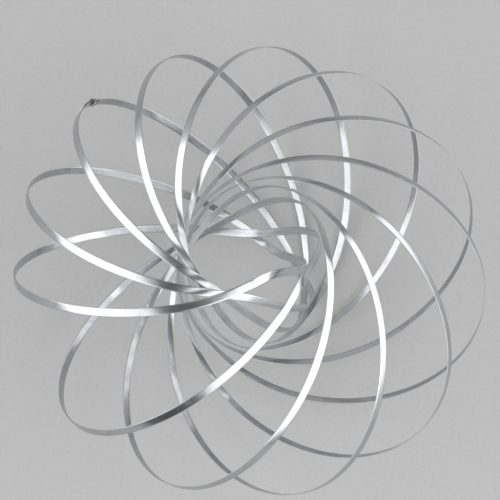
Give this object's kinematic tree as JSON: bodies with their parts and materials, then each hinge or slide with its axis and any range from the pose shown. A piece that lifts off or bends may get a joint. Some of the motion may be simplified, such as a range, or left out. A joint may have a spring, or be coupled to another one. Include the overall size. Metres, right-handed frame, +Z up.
{
  "type": "spring coil toy",
  "caption": "Closed band of flat spring steel wound into a ring of large leaning turns round an open centre; the turns swing together to fold the ring flatter or open it.",
  "frame": {"origin": "centre of the outline at the surface that the ring lies on", "axes": "+Z up along the axis of the open centre; +X towards the tip of the first turn"},
  "size_m": [0.1404, 0.1394, 0.0781],
  "materials": {
    "strip_steel": "bright rolled spring steel strip, fine grain along its length",
    "weld_steel": "duller spot-weld button with a pressed face"
  },
  "bodies": {
    "weld": {"weld_button_outer": "weld_steel", "weld_button_inner": "weld_steel"},
    "turn_01_upper": {"turn_01_upper": "strip_steel"},
    "turn_01_lower": {"turn_01_lower": "strip_steel"},
    "turn_02_upper": {"turn_02_upper": "strip_steel"},
    "turn_02_lower": {"turn_02_lower": "strip_steel"},
    "turn_03_upper": {"turn_03_upper": "strip_steel", "lapped_end": "strip_steel"},
    "turn_03_lower": {"turn_03_lower": "strip_steel"},
    "turn_04_upper": {"turn_04_upper": "strip_steel"},
    "turn_04_lower": {"turn_04_lower": "strip_steel"},
    "turn_05_upper": {"turn_05_upper": "strip_steel"},
    "turn_05_lower": {"turn_05_lower": "strip_steel"},
    "turn_06_upper": {"turn_06_upper": "strip_steel"},
    "turn_06_lower": {"turn_06_lower": "strip_steel"},
    "turn_07_upper": {"turn_07_upper": "strip_steel"},
    "turn_07_lower": {"turn_07_lower": "strip_steel"},
    "turn_08_upper": {"turn_08_upper": "strip_steel"},
    "turn_08_lower": {"turn_08_lower": "strip_steel"},
    "turn_09_upper": {"turn_09_upper": "strip_steel"},
    "turn_09_lower": {"turn_09_lower": "strip_steel"},
    "turn_10_upper": {"turn_10_upper": "strip_steel"},
    "turn_10_lower": {"turn_10_lower": "strip_steel"},
    "turn_11_upper": {"turn_11_upper": "strip_steel"},
    "turn_11_lower": {"turn_11_lower": "strip_steel"},
    "turn_12_upper": {"turn_12_upper": "strip_steel"},
    "turn_12_lower": {"turn_12_lower": "strip_steel"}
  },
  "joints": [
    {"name": "collapse", "type": "hinge", "parent": "weld", "child": "turn_01_upper", "pos_m": [-0.02044, 0.00453, 0.03301], "axis": [1, -0.0061, -0.0013], "range_deg": [-25, 10], "stiffness_Nm_per_rad": 0.02},
    {"name": "swing_turn_01_lower", "type": "hinge", "parent": "weld", "child": "turn_01_lower", "pos_m": [-0.01984, -0.00564, 0.03317], "axis": [0.9943, 0.1065, -0.0031], "range_deg": [-25.8, 10.3], "stiffness_Nm_per_rad": 0.02},
    {"name": "swing_turn_02_upper", "type": "hinge", "parent": "weld", "child": "turn_02_upper", "pos_m": [-0.01984, -0.00564, 0.03317], "axis": [0.8895, 0.4569, 0.0073], "range_deg": [-26.3, 10.6], "stiffness_Nm_per_rad": 0.02},
    {"name": "swing_turn_02_lower", "type": "hinge", "parent": "weld", "child": "turn_02_lower", "pos_m": [-0.01479, -0.01409, 0.03483], "axis": [0.8344, 0.551, -0.0111], "range_deg": [-26.8, 10.7], "stiffness_Nm_per_rad": 0.02},
    {"name": "swing_turn_03_upper", "type": "hinge", "parent": "weld", "child": "turn_03_upper", "pos_m": [-0.01479, -0.01409, 0.03483], "axis": [0.5866, 0.8098, 0.0141], "range_deg": [-27, 10.8], "stiffness_Nm_per_rad": 0.02},
    {"name": "swing_turn_03_lower", "type": "hinge", "parent": "weld", "child": "turn_03_lower", "pos_m": [-0.00654, -0.01918, 0.03765], "axis": [0.4961, 0.8681, -0.0172], "range_deg": [-27.2, 10.9], "stiffness_Nm_per_rad": 0.02},
    {"name": "swing_turn_04_upper", "type": "hinge", "parent": "weld", "child": "turn_04_upper", "pos_m": [-0.00654, -0.01918, 0.03765], "axis": [0.1595, 0.9871, 0.016], "range_deg": [-27.1, 10.9], "stiffness_Nm_per_rad": 0.02},
    {"name": "swing_turn_04_lower", "type": "hinge", "parent": "weld", "child": "turn_04_lower", "pos_m": [0.00301, -0.01571, 0.0458], "axis": [0.0557, 0.9954, -0.0785], "range_deg": [-28.3, 11.3], "stiffness_Nm_per_rad": 0.02},
    {"name": "swing_turn_05_upper", "type": "hinge", "parent": "weld", "child": "turn_05_upper", "pos_m": [0.00301, -0.01571, 0.0458], "axis": [-0.285, 0.9575, -0.0445], "range_deg": [-27, 10.8], "stiffness_Nm_per_rad": 0.02},
    {"name": "swing_turn_05_lower", "type": "hinge", "parent": "weld", "child": "turn_05_lower", "pos_m": [0.01361, -0.01614, 0.04326], "axis": [-0.3909, 0.9203, -0.0141], "range_deg": [-28.9, 11.6], "stiffness_Nm_per_rad": 0.02},
    {"name": "swing_turn_06_upper", "type": "hinge", "parent": "weld", "child": "turn_06_upper", "pos_m": [0.01361, -0.01614, 0.04326], "axis": [-0.8128, 0.5825, 0.0086], "range_deg": [-26.5, 10.6], "stiffness_Nm_per_rad": 0.02},
    {"name": "swing_turn_06_lower", "type": "hinge", "parent": "weld", "child": "turn_06_lower", "pos_m": [0.02136, -0.00555, 0.04455], "axis": [-0.8877, 0.4603, -0.0056], "range_deg": [-24.4, 9.8], "stiffness_Nm_per_rad": 0.02},
    {"name": "swing_turn_07_upper", "type": "hinge", "parent": "weld", "child": "turn_07_upper", "pos_m": [0.02136, -0.00555, 0.04455], "axis": [-0.9972, 0.0748, 0.0013], "range_deg": [-23.6, 9.5], "stiffness_Nm_per_rad": 0.02},
    {"name": "swing_turn_07_lower", "type": "hinge", "parent": "weld", "child": "turn_07_lower", "pos_m": [0.02137, 0.00596, 0.04439], "axis": [-0.9987, -0.0508, 0.0031], "range_deg": [-22.9, 9.2], "stiffness_Nm_per_rad": 0.02},
    {"name": "swing_turn_08_upper", "type": "hinge", "parent": "weld", "child": "turn_08_upper", "pos_m": [0.02137, 0.00596, 0.04439], "axis": [-0.8932, -0.4496, -0.0073], "range_deg": [-22.3, 9], "stiffness_Nm_per_rad": 0.02},
    {"name": "swing_turn_08_lower", "type": "hinge", "parent": "weld", "child": "turn_08_lower", "pos_m": [0.01532, 0.01604, 0.04273], "axis": [-0.828, -0.5606, 0.011], "range_deg": [-21.4, 8.6], "stiffness_Nm_per_rad": 0.02},
    {"name": "swing_turn_09_upper", "type": "hinge", "parent": "weld", "child": "turn_09_upper", "pos_m": [0.01532, 0.01604, 0.04273], "axis": [-0.5244, -0.8514, -0.0139], "range_deg": [-21.1, 8.5], "stiffness_Nm_per_rad": 0.02},
    {"name": "swing_turn_09_lower", "type": "hinge", "parent": "weld", "child": "turn_09_lower", "pos_m": [0.00484, 0.02147, 0.04001], "axis": [-0.4099, -0.912, 0.0159], "range_deg": [-21, 8.4], "stiffness_Nm_per_rad": 0.02},
    {"name": "swing_turn_10_upper", "type": "hinge", "parent": "weld", "child": "turn_10_upper", "pos_m": [0.00484, 0.02147, 0.04001], "axis": [0.0006, -0.9999, -0.0169], "range_deg": [-21.1, 8.5], "stiffness_Nm_per_rad": 0.02},
    {"name": "swing_turn_10_lower", "type": "hinge", "parent": "weld", "child": "turn_10_lower", "pos_m": [-0.00673, 0.02063, 0.03696], "axis": [0.1279, -0.9917, 0.0167], "range_deg": [-21.4, 8.6], "stiffness_Nm_per_rad": 0.02},
    {"name": "swing_turn_11_upper", "type": "hinge", "parent": "weld", "child": "turn_11_upper", "pos_m": [-0.00673, 0.02063, 0.03696], "axis": [0.516, -0.8565, -0.0153], "range_deg": [-22.3, 8.9], "stiffness_Nm_per_rad": 0.02},
    {"name": "swing_turn_11_lower", "type": "hinge", "parent": "weld", "child": "turn_11_lower", "pos_m": [-0.01589, 0.01421, 0.0344], "axis": [0.6176, -0.7864, 0.0129], "range_deg": [-22.9, 9.2], "stiffness_Nm_per_rad": 0.02},
    {"name": "swing_turn_12_upper", "type": "hinge", "parent": "weld", "child": "turn_12_upper", "pos_m": [-0.01589, 0.01421, 0.0344], "axis": [0.8746, -0.4848, -0.0096], "range_deg": [-23.6, 9.5], "stiffness_Nm_per_rad": 0.02},
    {"name": "swing_turn_12_lower", "type": "hinge", "parent": "weld", "child": "turn_12_lower", "pos_m": [-0.02044, 0.00453, 0.03301], "axis": [0.9256, -0.3784, 0.0057], "range_deg": [-24.3, 9.8], "stiffness_Nm_per_rad": 0.02}
  ],
  "couplings": [
    {"joint": "swing_turn_01_lower", "follows": "collapse", "ratio": 1.028},
    {"joint": "swing_turn_02_upper", "follows": "collapse", "ratio": 1.051},
    {"joint": "swing_turn_02_lower", "follows": "collapse", "ratio": 1.069},
    {"joint": "swing_turn_03_upper", "follows": "collapse", "ratio": 1.079},
    {"joint": "swing_turn_03_lower", "follows": "collapse", "ratio": 1.084},
    {"joint": "swing_turn_04_upper", "follows": "collapse", "ratio": 1.083},
    {"joint": "swing_turn_04_lower", "follows": "collapse", "ratio": 1.129},
    {"joint": "swing_turn_05_upper", "follows": "collapse", "ratio": 1.078},
    {"joint": "swing_turn_05_lower", "follows": "collapse", "ratio": 1.154},
    {"joint": "swing_turn_06_upper", "follows": "collapse", "ratio": 1.057},
    {"joint": "swing_turn_06_lower", "follows": "collapse", "ratio": 0.975},
    {"joint": "swing_turn_07_upper", "follows": "collapse", "ratio": 0.942},
    {"joint": "swing_turn_07_lower", "follows": "collapse", "ratio": 0.913},
    {"joint": "swing_turn_08_upper", "follows": "collapse", "ratio": 0.89},
    {"joint": "swing_turn_08_lower", "follows": "collapse", "ratio": 0.854},
    {"joint": "swing_turn_09_upper", "follows": "collapse", "ratio": 0.843},
    {"joint": "swing_turn_09_lower", "follows": "collapse", "ratio": 0.838},
    {"joint": "swing_turn_10_upper", "follows": "collapse", "ratio": 0.843},
    {"joint": "swing_turn_10_lower", "follows": "collapse", "ratio": 0.853},
    {"joint": "swing_turn_11_upper", "follows": "collapse", "ratio": 0.889},
    {"joint": "swing_turn_11_lower", "follows": "collapse", "ratio": 0.913},
    {"joint": "swing_turn_12_upper", "follows": "collapse", "ratio": 0.941},
    {"joint": "swing_turn_12_lower", "follows": "collapse", "ratio": 0.971}
  ]
}
